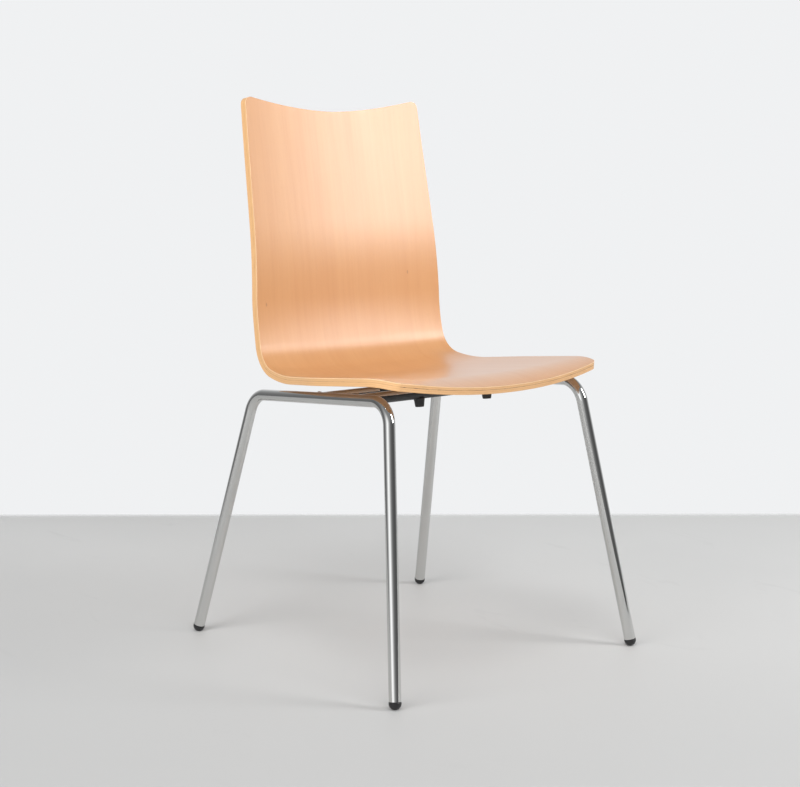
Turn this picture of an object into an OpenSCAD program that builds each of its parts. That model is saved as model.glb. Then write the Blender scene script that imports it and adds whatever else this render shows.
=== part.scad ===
// Stacking chair: a one-piece bent plywood shell on a welded, bright plated tube frame.
// +Z is up, the sitter faces -Y, and left means the sitter's left, which is +X.

/* [Seat shell] */
// Total thickness of the bent plywood
shell_t = 12; // [9:0.5:15]
// Thickness of each face veneer
veneer_t = 1.5; // [0.8:0.1:2.5]
// Widest width of the seat
seat_w = 438; // [380:2:500]
// Width at the bottom of the backrest
back_w = 380; // [320:2:420]
// Width near the top of the backrest
top_w = 352.5; // [300:0.5:400]
// How far the middle of the seat lies below its side edges
dish = 11.9; // [6:0.1:18]
// How much flatter the dish is in the tight bend
dish_loss = 4; // [0:0.5:6]
// Straight run of the seat from the front roll to the front cross tube
front_run = 56.5; // [30:0.5:80]
// Straight run of the seat behind the front cross tube
rear_run = 140; // [120:0.5:170]
// Slope of the seat, higher at the front, in degrees
seat_slope = 5.2; // [2:0.1:8]
// Length of the rolled front edge
roll_len = 82.5; // [60:0.5:110]
// How far the front edge rolls down, in degrees
roll_turn = 22.2; // [10:0.1:40]
// Length and turn of the hollow behind the sitting area
hollow_len = 65; // [40:1:90]
hollow_turn = 16.2; // [8:0.1:20]
// Length and turn of the tight bend into the backrest
bend_len = 52.5; // [40:0.5:90]
bend_turn = 66.4; // [58:0.1:72]
// Length and turn of the easing above the bend
easing_len = 74; // [40:1:90]
easing_turn = 11; // [8:0.1:16]
// Length and backward turn of the lumbar bow
lumbar_len = 124; // [100:1:180]
lumbar_turn = 8.2; // [4:0.1:12]
// Straight length of the upper backrest
upper_len = 97; // [60:1:140]
// Length and forward turn of the top
top_len = 81; // [60:1:100]
top_turn = 1.6; // [0:0.1:5]
// How far the top corners stand above the middle of the top edge
ear_rise = 21; // [0:0.5:30]
// Radius of the top corners
top_corner_r = 13; // [6:1:30]
// How far the middle of the front edge stands forward of its corners
front_bow = 29; // [10:0.5:45]
// Radius of the front corners
front_corner_r = 9; // [5:1:30]
// How much each side narrows towards the front corners
front_taper = 13; // [0:0.5:30]

/* [Tube frame] */
// Outer diameter of the side frames and legs
tube_d = 18; // [16:0.5:25]
// Wall of the side frames and legs
tube_wall = 1.5; // [1:0.1:2.5]
// Outer diameter of the cross tubes
cross_d = 16; // [14:0.5:22]
// Wall of the cross tubes
cross_wall = 1.5; // [1:0.1:2.5]
// Distance between the two seat rails, centre to centre
rail_gap = 387; // [340:1:430]
// Rail length between the points where the leg lines meet it
rail_len = 337.7; // [300:0.5:400]
// Height of the middle of the rails
rail_z = 413.7; // [380:0.5:450]
// Slope of the rails, higher at the front, in degrees
rail_pitch = 4.1; // [2:0.1:6]
// Outward lean of each side frame, in degrees
side_lean = 6.85; // [3:0.05:10]
// Forward angle of the front legs from square to the rail
front_splay = 5.95; // [3:0.05:10]
// Backward angle of the rear legs from square to the rail
rear_splay = 18.7; // [12:0.1:22]
// Centre-line radius of the frame bends
bend_r = 38; // [30:1:55]
// Distance of the front cross tube ahead of the middle of the rails
front_tube_y = 89; // [70:0.5:110]
// Distance of the rear cross tube behind the middle of the rails
rear_tube_y = 2.4; // [-10:0.5:30]
// Size of the weld bead around the cross tube ends
weld = 1.8; // [1:0.1:3]

/* [Glides] */
// How far the domed glides stand out around the tube
glide_lip = 0.3; // [0.1:0.1:3]
// Diameter of the worn flat that meets the floor
glide_flat_d = 6; // [3:0.5:8]
// Length of the collar between the dome and the tube end
glide_collar = 2.5; // [1:0.5:6]
// Length of the stem inside the tube
glide_stem = 20; // [10:1:35]

/* [Seat fixings] */
// Distance between left and right fixing screws
screw_gap = 138.8; // [110:0.2:170]
// Thread diameter of the screws
screw_d = 6; // [5:0.5:8]
// Diameter and height of the screw heads
head_d = 10.5; // [9:0.5:13]
head_h = 3.3; // [2.5:0.1:5]
// Depth that the screws reach into the inserts
screw_bite = 6.8; // [4:0.1:8]
// Diameter of the spacer pads between tube and shell
pad_d = 22; // [16:1:30]
// Thickness of the front pads at the middle of the seat
pad_t = 2.6; // [2:0.1:6]
// Diameter of the saddle washers, and their thickness at the middle
washer_d = 12; // [10:0.5:14]
washer_t = 2; // [1.5:0.1:3]
// Wall of the insert barrels
insert_wall = 1; // [0.6:0.1:2]
// Wood of the core left above the inserts
insert_cover = 1.7; // [0.5:0.1:3]
// Diameter and thickness of the insert flanges
insert_flange_d = 18; // [14:0.5:22]
insert_flange_t = 1.4; // [1:0.1:2]
// Clearance of holes around screws
hole_clear = 0.4; // [0.2:0.1:0.8]
// Clearance of the pockets around the inserts, and of stems in tubes
fit_clear = 0.1; // [0.05:0.05:0.3]

/* [Stacking strip] */
// Wall of the strip clipped around the front cross tube
strip_t = 1.4; // [1:0.1:2.5]
// Gap between each end of the strip and the rail
strip_end_gap = 16.5; // [4:0.5:60]
// Angle of the strip's lips above the middle of the tube
strip_lip = 10; // [0:1:30]
// Diameters of the stacking knobs at the strip and at the tip
knob_d = 17.2; // [15:0.2:22]
knob_tip_d = 13.4; // [10:0.2:18]
// How far the knobs stand below the strip
knob_drop = 11.9; // [8:0.1:20]

/* [Hidden] */
$fn = 64;
// Longer than any piece, for cuts that go right through
far = 1200;
// Curve of each edge from its middle to its corners: 1 is straight, and more is flatter in the middle
front_power = 2.3;
top_power = 1.7;
// How the sides swing out from the back to the seat, and how softly that starts
flare_power = 1.8;
flare_blend = 0.006;
// Distance from the bend over which the shell takes up its full dish
dish_fade = 130;
// Screw heads: radius of the dome and of the hexagon socket, as shares of the head's diameter
dome_share = 0.61;
socket_share = 0.22;
left = 1;
right = -1;

// Frame: directions of the legs, and the heights that put every glide on the floor.
tube_r = tube_d / 2;
cross_r = cross_d / 2;
glide_r = tube_r + glide_lip;
glide_centre_z = sqrt(pow(glide_r, 2) - pow(glide_flat_d / 2, 2));
rail_x = rail_gap / 2;
half_rail = rail_len / 2;
// Overlap of straight tube and bend where they join, and how much thinner the bend's wall is
bend_lap = 0.5;
bend_thinning = 0.02;
// Downward and rearward travel per millimetre of a leg that leans back by angle a
function leg_fall(a) = sin(a) * sin(rail_pitch) + cos(a) * cos(side_lean) * cos(rail_pitch);
function leg_reach(a) = sin(a) * cos(rail_pitch) - cos(a) * cos(side_lean) * sin(rail_pitch);
front_corner_z = rail_z + half_rail * sin(rail_pitch);
rear_corner_z = rail_z - half_rail * sin(rail_pitch);
front_leg = (front_corner_z - glide_centre_z) / leg_fall(-front_splay);
rear_leg = (rear_corner_z - glide_centre_z) / leg_fall(rear_splay);
// The rails' middle lies where front and rear glides are the same distance from the origin
rail_y = -(front_leg * leg_reach(-front_splay) + rear_leg * leg_reach(rear_splay)) / 2;

// Cross tubes and seat: the seat's straight run lies above both tubes.
front_tube = [rail_y - front_tube_y, rail_z + front_tube_y * tan(rail_pitch)];
rear_tube = [rail_y + rear_tube_y, rail_z - rear_tube_y * tan(rail_pitch)];
seat_up = [sin(seat_slope), cos(seat_slope)];
rim_over_tube = cross_r + pad_t + shell_t + dish;
seat_anchor = concat(front_tube + seat_up * rim_over_tube, -seat_slope);

// Shell: the side edge is a chain of straight runs and arcs, from the front to the top.
runs = [[roll_len, -roll_turn], [front_run + rear_run, 0], [hollow_len, hollow_turn],
  [bend_len, bend_turn], [easing_len, easing_turn], [lumbar_len, -lumbar_turn],
  [upper_len, 0], [top_len + ear_rise, top_turn]];
function run_sum(i) = i < 0 ? 0 : runs[i][0] + run_sum(i - 1);
function arc_step(p, l, turn) = let (a = p[2])
  abs(turn) < 0.001 ? [p[0] + l * cos(a), p[1] + l * sin(a), a] :
  let (r = l / turn * 180 / PI)
  [p[0] + r * (sin(a + turn) - sin(a)), p[1] - r * (cos(a + turn) - cos(a)), a + turn];
roll_end = arc_step(seat_anchor, -front_run, 0);
front_start = arc_step(roll_end, -roll_len, roll_turn);
function pose_at(s, i = 0, p = front_start) =
  i == len(runs) - 1 || s <= runs[i][0] ? arc_step(p, s, runs[i][1] * s / runs[i][0]) :
  pose_at(s - runs[i][0], i + 1, arc_step(p, runs[i][0], runs[i][1]));

// Half widths along the shell, before the corners are rounded.
bend_mid = run_sum(2) + bend_len / 2;
flare_end = run_sum(0) + front_run + rear_run / 2;
flare_start = run_sum(3) + easing_len / 2;
full_back = run_sum(4);
shell_end = run_sum(6) + top_len + ear_rise;
taper_start = roll_len + front_run / 4;
function soft_min(t) = (1 + t - sqrt(pow(1 - t, 2) + flare_blend)) / 2;
function flare(s) = let (t = soft_min((flare_start - s) / (flare_start - flare_end)))
  t <= 0 ? 0 : pow(t, flare_power);
function back_narrow(s) = s < full_back ? 0 : (s - full_back) / (shell_end - full_back);
function narrow_front(s) = s > taper_start ? 0 :
  front_taper * pow((taper_start - s) / (taper_start - front_bow), 2);
function half_w(s) = back_w / 2 + (seat_w - back_w) / 2 * flare(s)
  - (back_w - top_w) / 2 * back_narrow(s) - narrow_front(s);
function dish_at(s) = let (t = min(1, abs(s - bend_mid) / dish_fade))
  dish - dish_loss * pow(1 - t * t, 2);

// Bowed front edge and hollowed top edge, measured along the shell.
function front_edge(x) = front_bow * pow(abs(x) / (seat_w / 2 - front_taper), front_power);
function top_edge(x) =
  run_sum(6) + top_len + ear_rise * pow(abs(x) / (top_w / 2), top_power);
front_side = front_edge(half_w(front_bow) - front_corner_r);
top_side = top_edge(half_w(shell_end) - top_corner_r);
front_fade = roll_len + front_run;
top_fade = upper_len + top_len;
function row_station(x, s) =
  s + (front_edge(x) - front_side) * max(0, 1 - (s - front_side) / front_fade)
  + (top_edge(x) - top_side) * max(0, 1 - (top_side - s) / top_fade);

// Rows run across the shell. Each holds its distance along the side edge and its half width.
function spread(a, b, n) = [for (i = [1 : n]) a + (b - a) * i / n];
corner_steps = 5;
function rounded(r, k) = r * (1 - sin(90 * k / corner_steps));
function corner_run(r, k) = r * (1 - cos(90 * k / corner_steps));
front_rows = [for (k = [0 : corner_steps])
  let (s = front_side + corner_run(front_corner_r, k)) [s, half_w(s) - rounded(front_corner_r, k)]];
top_rows = [for (k = [corner_steps : -1 : 0])
  let (s = top_side - corner_run(top_corner_r, k)) [s, half_w(s) - rounded(top_corner_r, k)]];
middle_stations = concat(
  spread(front_side + front_corner_r, run_sum(0), 3),
  spread(run_sum(0), run_sum(1), 13),
  spread(run_sum(1), run_sum(2), 5),
  spread(run_sum(2), run_sum(3), 9),
  spread(run_sum(3), run_sum(4), 5),
  spread(run_sum(4), top_side - top_corner_r, 13));
last_middle = len(middle_stations) - 2;
rows = concat(front_rows, [for (i = [0 : last_middle]) [middle_stations[i], half_w(middle_stations[i])]],
  top_rows);
columns = 14;

// A point of the shell at row r, across fraction u, and depth d below the upper face.
function shell_point(r, u, d) =
  let (x = u * r[1], s = row_station(x, r[0]), p = pose_at(s), w = half_w(s), q = dish_at(s))
  let (out = [sin(p[2]), -cos(p[2])], sink = q * (1 - pow(x / w, 2)), tilt = 2 * q * x / (w * w))
  let (n = [tilt, out[0], out[1]] / norm([tilt, 1]))
  [x, p[0] + sink * out[0], p[1] + sink * out[1]] + d * n;

module shell_layer(d1, d2) {
  m = columns + 1;
  last = len(rows) - 1;
  layer = len(rows) * m;
  points = [for (d = [d1, d2]) for (r = rows) for (i = [0 : columns])
    shell_point(r, 2 * i / columns - 1, d)];
  grid = [for (j = [0 : last - 1]) for (i = [0 : columns - 1]) j * m + i];
  upper = [for (a = grid) for (f = [[a, a + m + 1, a + 1], [a, a + m, a + m + 1]]) f];
  lower = [for (f = upper) [f[0] + layer, f[2] + layer, f[1] + layer]];
  sides = [for (j = [0 : last - 1])
    for (e = [[j * m, j * m + m], [j * m + m + columns, j * m + columns]]) e];
  ends = [for (i = [0 : columns - 1]) for (e = [[i + 1, i], [last * m + i, last * m + i + 1]]) e];
  rim = [for (e = concat(sides, ends)) for (f = [[e[0], e[0] + layer, e[1] + layer],
    [e[0], e[1] + layer, e[1]]]) f];
  polyhedron(points, concat(upper, lower, rim));
}

// Fixings: each axis is square to the seat and crosses the middle of its cross tube.
screw_x = screw_gap / 2;
shank_r = screw_d / 2;
hole_r = shank_r + hole_clear / 2;
strip_r = cross_r + strip_t;
strip_top = strip_r * sin(strip_lip);
strip_len = rail_gap - tube_d - 2 * strip_end_gap;
knob_reach = strip_r + knob_drop;
insert_d = screw_d + 2 * insert_wall;
insert_len = shell_t - veneer_t - insert_cover - insert_flange_t;
fix_w = half_w(roll_len + front_run);
// Distance from a tube's middle line up to the shell's underside at the fixings
function under_at(tube) = [seat_anchor[0] - tube[0], seat_anchor[1] - tube[1]] * seat_up
  - shell_t - dish * (1 - pow(screw_x / fix_w, 2));
under_tilt = atan(2 * dish * screw_x / (fix_w * fix_w));

module at_fixing(side, tube) {
  translate([side * screw_x, tube[0], tube[1]]) rotate([-seat_slope, 0, 0]) children();
}

module along_x(r, l) {
  rotate([0, 90, 0]) cylinder(r = r, h = l, center = true);
}

module insert_shape(gap) {
  translate([0, 0, -gap]) cylinder(r = insert_d / 2 + gap, h = insert_len + 2 * gap);
  translate([0, 0, insert_len - gap])
    cylinder(r = insert_flange_d / 2 + gap, h = insert_flange_t + 2 * gap);
}

module insert_pockets() {
  for (tube = [front_tube, rear_tube]) for (side = [left, right])
    at_fixing(side, tube) translate([0, 0, under_at(tube)]) {
      insert_shape(fit_clear);
      translate([0, 0, -insert_len]) cylinder(r = insert_d / 2 + fit_clear, h = insert_len);
    }
}

module screw_holes(side, tube) {
  at_fixing(side, tube) cylinder(r = hole_r, h = far, center = true);
}

// A side frame is drawn flat with its rail along Y, then leaned, pitched and set in place.
module placed(side) {
  translate([side * rail_x, rail_y, rail_z]) rotate([-rail_pitch, 0, 0])
    rotate([0, -side * side_lean, 0]) children();
}

module rail_bar(r) {
  rotate([90, 0, 0]) cylinder(r = r, h = rail_len, center = true);
}

module tube_section(thinning) {
  difference() {
    circle(r = tube_r - thinning);
    circle(r = tube_r - tube_wall + thinning);
  }
}

function bend_tangent(splay) = bend_r * tan((90 - splay) / 2);

// One leg and its bend: dir is 1 at the rear and -1 at the front.
// The wall of a bend is a hair thinner, so that it ends inside the wall of the straight tube.
module leg_and_bend(dir, splay, leg) {
  turn = 90 - splay;
  tangent = bend_tangent(splay);
  mirror([0, dir < 0 ? 1 : 0, 0]) translate([0, half_rail, 0]) {
    rotate([splay, 0, 0]) translate([0, 0, glide_collar - leg])
      linear_extrude(leg - glide_collar - tangent + bend_lap) tube_section(0);
    translate([0, -tangent, -bend_r]) rotate([90, 0, 90]) rotate([0, 0, 90 - turn])
      rotate_extrude(angle = turn) translate([bend_r, 0]) tube_section(bend_thinning);
  }
}

module side_frame(side) {
  straight_end = half_rail - bend_tangent(rear_splay) + bend_lap;
  straight = rail_len - bend_tangent(front_splay) - bend_tangent(rear_splay) + 2 * bend_lap;
  color("gainsboro") placed(side) {
    translate([0, straight_end, 0]) rotate([90, 0, 0]) linear_extrude(straight) tube_section(0);
    leg_and_bend(-1, front_splay, front_leg);
    leg_and_bend(1, rear_splay, rear_leg);
  }
}

module cross_tube(tube) {
  color("gainsboro") difference() {
    union() {
      translate([0, tube[0], tube[1]]) along_x(cross_r, rail_gap);
      for (side = [left, right]) intersection() {
        translate([side * rail_x, tube[0], tube[1]]) along_x(cross_r + weld, 4 * tube_r);
        placed(side) rail_bar(tube_r + weld);
        translate([side * (rail_x - far / 2), 0, 0]) cube([far, far, 2 * far], center = true);
      }
    }
    translate([0, tube[0], tube[1]]) along_x(cross_r - cross_wall, far);
    for (side = [left, right]) {
      placed(side) rail_bar(tube_r);
      screw_holes(side, tube);
    }
  }
}

module glide(side, dir, splay, leg) {
  color([0.08, 0.08, 0.09]) difference() {
    placed(side) mirror([0, dir < 0 ? 1 : 0, 0]) translate([0, half_rail, 0])
      rotate([splay, 0, 0]) translate([0, 0, -leg]) rotate_extrude() {
        intersection() {
          circle(r = glide_r);
          translate([0, -glide_r]) square(glide_r);
        }
        square([glide_r, glide_collar]);
        square([tube_r - tube_wall - fit_clear, glide_collar + glide_stem]);
      }
    translate([0, 0, -far / 2]) cube(far, center = true);
  }
}

module stacking_strip() {
  color([0.1, 0.1, 0.11]) difference() {
    translate([0, front_tube[0], front_tube[1]]) difference() {
      along_x(strip_r, strip_len);
      along_x(cross_r, far);
      rotate([-seat_slope, 0, 0]) translate([0, 0, strip_top + strip_r])
        cube([far, 4 * strip_r, 2 * strip_r], center = true);
    }
    screw_holes(left, front_tube);
    screw_holes(right, front_tube);
  }
}

module stacking_knob(side) {
  washer_end = strip_r + washer_t;
  cavity = washer_end + head_h + hole_clear;
  head_gap = head_d / 2 + hole_clear;
  color([0.12, 0.12, 0.13]) at_fixing(side, front_tube) difference() {
    rotate([180, 0, 0]) rotate_extrude()
      polygon([[washer_d / 2, strip_r / 2], [knob_d / 2, strip_r / 2], [knob_d / 2, strip_r],
        [knob_tip_d / 2, knob_reach], [0, knob_reach], [0, cavity], [head_gap, cavity],
        [head_gap, washer_end], [washer_d / 2, washer_end]]);
    along_x(strip_r, far);
  }
}

// The saddle of a front spacer ends at the strip's lips, and that of a rear one at the tube's middle.
module spacer(side, tube, foot) {
  color([0.15, 0.15, 0.16]) difference() {
    at_fixing(side, tube) difference() {
      translate([0, 0, foot]) cylinder(r = pad_d / 2, h = under_at(tube) + pad_d / 2 - foot);
      translate([0, 0, under_at(tube)]) rotate([0, -side * under_tilt, 0])
        translate([0, 0, far / 2]) cube(far, center = true);
      translate([0, 0, under_at(tube)]) cylinder(r = insert_d / 2 + fit_clear, h = far);
    }
    translate([0, tube[0], tube[1]]) along_x(cross_r, far);
    screw_holes(side, tube);
  }
}

module seat_screws(tube, seat_r) {
  length = seat_r + washer_t + under_at(tube) + screw_bite;
  dome_r = dome_share * head_d;
  color("silver") for (side = [left, right]) at_fixing(side, tube) translate([0, 0, -seat_r - washer_t]) {
    cylinder(r = shank_r, h = length);
    rotate([180, 0, 0]) difference() {
      intersection() {
        cylinder(r = head_d / 2, h = head_h);
        translate([0, 0, head_h - dome_r]) sphere(r = dome_r);
      }
      translate([0, 0, head_h / 2]) cylinder(r = socket_share * head_d, h = head_h, $fn = 6);
    }
  }
}

module saddle_washers(tube, seat_r) {
  color("silver") difference() {
    for (side = [left, right]) at_fixing(side, tube)
      rotate([180, 0, 0]) cylinder(r = washer_d / 2, h = seat_r + washer_t);
    translate([0, tube[0], tube[1]]) along_x(seat_r, far);
    screw_holes(left, tube);
    screw_holes(right, tube);
  }
}

module threaded_inserts() {
  color("darkgray") for (tube = [front_tube, rear_tube]) for (side = [left, right])
    at_fixing(side, tube) difference() {
      translate([0, 0, under_at(tube)]) insert_shape(0);
      cylinder(r = shank_r, h = far);
    }
}

module front_face_veneer() {
  color([0.87, 0.68, 0.5]) shell_layer(0, veneer_t);
}

module plywood_core() {
  color([0.82, 0.62, 0.42]) difference() {
    shell_layer(veneer_t, shell_t - veneer_t);
    insert_pockets();
  }
}

module back_face_veneer() {
  color([0.87, 0.68, 0.5]) difference() {
    shell_layer(shell_t - veneer_t, shell_t);
    insert_pockets();
  }
}

front_face_veneer();
plywood_core();
back_face_veneer();
side_frame(left);  // left_side_frame
side_frame(right);  // right_side_frame
cross_tube(front_tube);  // front_cross_tube
cross_tube(rear_tube);  // rear_cross_tube
glide(left, -1, front_splay, front_leg);  // front_left_glide
glide(right, -1, front_splay, front_leg);  // front_right_glide
glide(left, 1, rear_splay, rear_leg);  // rear_left_glide
glide(right, 1, rear_splay, rear_leg);  // rear_right_glide
stacking_strip();
stacking_knob(left);  // left_stacking_knob
stacking_knob(right);  // right_stacking_knob
spacer(left, front_tube, strip_top);  // front_left_spacer
spacer(right, front_tube, strip_top);  // front_right_spacer
spacer(left, rear_tube, 0);  // rear_left_spacer
spacer(right, rear_tube, 0);  // rear_right_spacer
seat_screws(front_tube, strip_r);  // front_seat_screws
seat_screws(rear_tube, cross_r);  // rear_seat_screws
saddle_washers(front_tube, strip_r);  // front_saddle_washers
saddle_washers(rear_tube, cross_r);  // rear_saddle_washers
threaded_inserts();
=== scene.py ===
import bpy
import math
from mathutils import Matrix, Vector


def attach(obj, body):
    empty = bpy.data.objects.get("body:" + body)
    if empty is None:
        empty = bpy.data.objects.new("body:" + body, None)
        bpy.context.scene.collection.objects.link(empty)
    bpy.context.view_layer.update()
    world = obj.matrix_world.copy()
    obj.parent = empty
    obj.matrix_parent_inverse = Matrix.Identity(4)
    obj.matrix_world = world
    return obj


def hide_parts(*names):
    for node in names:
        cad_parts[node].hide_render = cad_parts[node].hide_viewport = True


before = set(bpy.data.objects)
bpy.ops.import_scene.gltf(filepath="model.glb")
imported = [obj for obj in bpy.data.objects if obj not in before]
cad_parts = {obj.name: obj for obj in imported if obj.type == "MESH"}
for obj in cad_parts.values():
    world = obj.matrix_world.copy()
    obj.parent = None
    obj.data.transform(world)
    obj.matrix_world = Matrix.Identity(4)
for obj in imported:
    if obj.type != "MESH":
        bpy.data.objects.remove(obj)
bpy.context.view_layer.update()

print("frame loaded:", len(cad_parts), "nodes")


# angles are in degrees throughout
def sinD(angle):
    return math.sin(math.radians(angle))


def cosD(angle):
    return math.cos(math.radians(angle))


def tanD(angle):
    return math.tan(math.radians(angle))


def turnAbout(axis, angle):
    return Matrix.Rotation(math.radians(angle), 4, axis)


def addObject(name, data):
    obj = bpy.data.objects.new(name, data)
    bpy.context.scene.collection.objects.link(obj)
    return obj


def markEdges(mesh, attribute, kind, edges, value):
    edgeOf = {tuple(sorted(e.vertices)): e.index for e in mesh.edges}
    marks = mesh.attributes.new(attribute, kind, "EDGE")
    for edge in edges:
        index = edgeOf.get(tuple(sorted(edge)))
        if index is not None:
            marks.data[index].value = value


# mesh in millimetres -> object in metres, riding on the chair
def makePiece(name, verts, faces, materials, faceMats=None, uvs=None, sharp=None, bevel=None):
    mesh = bpy.data.meshes.new(name)
    mesh.from_pydata([(x / 1000, y / 1000, z / 1000) for x, y, z in verts], [], faces)
    for material in materials:
        mesh.materials.append(material)
    for i, poly in enumerate(mesh.polygons):
        poly.use_smooth = True
        if faceMats:
            poly.material_index = faceMats[i]
    if uvs:
        layer = mesh.uv_layers.new(name="Grain")
        for poly in mesh.polygons:
            for corner, loopIndex in enumerate(poly.loop_indices):
                layer.data[loopIndex].uv = uvs[poly.index][corner]
    mesh.update()
    if sharp:
        markEdges(mesh, "sharp_edge", "BOOLEAN", sharp, True)
    if bevel:
        markEdges(mesh, "bevel_weight_edge", "FLOAT", bevel, 1)
    obj = addObject(name, mesh)
    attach(obj, "root")
    return obj


# closed rings of points, one after the other -> quads between them
def ringFaces(rings, count):
    faces = []
    for j in range(rings - 1):
        for i in range(count):
            k = (i + 1) % count
            a = j * count
            b = a + count
            faces.append((a + i, a + k, b + k, b + i))
    return faces


# shader node shortcuts
def newMaterial(name):
    mat = bpy.data.materials.new(name)
    mat.use_nodes = True
    tree = mat.node_tree
    tree.nodes.clear()
    out = tree.nodes.new("ShaderNodeOutputMaterial")
    shader = tree.nodes.new("ShaderNodeBsdfPrincipled")
    link(tree, shader.outputs[0], out.inputs[0])
    return mat, tree, shader


def addNode(tree, kind, **settings):
    node = tree.nodes.new(kind)
    for key, value in settings.items():
        setattr(node, key, value)
    return node


def link(tree, source, target):
    tree.links.new(source, target)


# a number or colour is set on the socket, another node's output is linked to it
def feed(tree, socket, value):
    if isinstance(value, (int, float)):
        socket.default_value = value
    elif isinstance(value, (tuple, list)):
        socket.default_value = (*value[:3], 1)
    else:
        link(tree, value, socket)


def objectPlace(tree):
    return addNode(tree, "ShaderNodeTexCoord").outputs["Object"]


def stretch(tree, source, scale):
    mapping = addNode(tree, "ShaderNodeMapping")
    mapping.inputs["Scale"].default_value = scale
    link(tree, source, mapping.inputs["Vector"])
    return mapping.outputs[0]


def noiseTex(tree, vector, scale=1.0, detail=3.0, roughness=0.5, distortion=0.0):
    node = addNode(tree, "ShaderNodeTexNoise")
    node.inputs["Scale"].default_value = scale
    node.inputs["Detail"].default_value = detail
    node.inputs["Roughness"].default_value = roughness
    node.inputs["Distortion"].default_value = distortion
    link(tree, vector, node.inputs["Vector"])
    return node.outputs["Fac"]


# noise drawn out along the axes: scale per axis, then detail, roughness, distortion
def drawnNoise(tree, vector, scales, *rest):
    return noiseTex(tree, stretch(tree, vector, scales), 1, *rest)


# soft step: value between low and high -> between first and second
def remap(tree, value, low, high, first, second):
    node = addNode(tree, "ShaderNodeMapRange", interpolation_type="SMOOTHSTEP")
    for i, limit in enumerate((low, high, first, second)):
        node.inputs[i + 1].default_value = limit
    link(tree, value, node.inputs[0])
    return node.outputs[0]


def mathNode(tree, operation, *values):
    node = addNode(tree, "ShaderNodeMath", operation=operation)
    for i, value in enumerate(values):
        feed(tree, node.inputs[i], value)
    return node.outputs[0]


def plus(tree, a, b):
    return mathNode(tree, "ADD", a, b)


def times(tree, a, b):
    return mathNode(tree, "MULTIPLY", a, b)


def mixColor(tree, factor, a, b):
    node = addNode(tree, "ShaderNodeMix", data_type="RGBA", blend_type="MIX")
    for i, value in ((0, factor), (6, a), (7, b)):
        feed(tree, node.inputs[i], value)
    return node.outputs[2]


def vectorWith(tree, operation, source, vector):
    node = addNode(tree, "ShaderNodeVectorMath", operation=operation)
    node.inputs[1].default_value = vector
    link(tree, source, node.inputs[0])
    return node


def bumpNode(tree, height, strength, distance):
    node = addNode(tree, "ShaderNodeBump")
    node.inputs["Strength"].default_value = strength
    node.inputs["Distance"].default_value = distance
    link(tree, height, node.inputs["Height"])
    return node.outputs[0]


# where noise does most of its varying: a wide and a narrow stretch of it
wide = (0.3, 0.7)
narrow = (0.35, 0.65)

beech = {
    "light": (0.645, 0.326, 0.134),
    "dark": (0.570, 0.260, 0.096),
    "fleck": (0.36, 0.165, 0.065),
    "roughness": 0.40,
    "polished": -0.03,        # least and most added to the roughness by the streaks
    "worn": 0.05,
    "lacquer": 1.0,
    "lacquerRoughness": 0.28,
    "shine": 0.6,
    "relief": 0.05,
    "reliefDepth": 0.0004,    # m
    "wander": 0.02,           # m, sideways drift of the grain
    "knots": [(0.126, 0.501), (-0.171, 0.461)],   # m across the shell and along it
    "knotShape": (700, 330),  # larger is smaller on the wood
    "knotEdge": (0.4, 1.5),
    "knotDepth": 0.7,
    "poreLimits": (0.30, 0.55),    # noise between which a pore, and a fleck, comes up
    "fleckLimits": (0.66, 0.80),
    "poreRelief": 0.6,
    "streakRelief": 0.4,
    "slant": 0.7,             # second part of the shift between the two faces
}

# noises of the grain: repeats per metre across, along and through, then detail and roughness
beechGrain = {
    "wander": ((6, 1.6, 1), 2),
    "bands": ((26, 0.9, 1), 3, 0.55),
    "streaks": ((150, 3.0, 1), 4, 0.6),
    "pores": ((900, 26, 1), 3, 0.6),
    "blotches": ((7, 4, 1), 2),
    "flecks": ((620, 95, 1), 1, 0.4),
}

# how much darker each noise makes the wood, from its low end to its high end
beechTone = {
    "bands": (0.08, 0.44),
    "streaks": (0, 0.22),
    "blotches": (-0.08, 0.12),
    "pores": (0.07, 0.0),
    "flecks": (0.0, 0.16),
}


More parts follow.
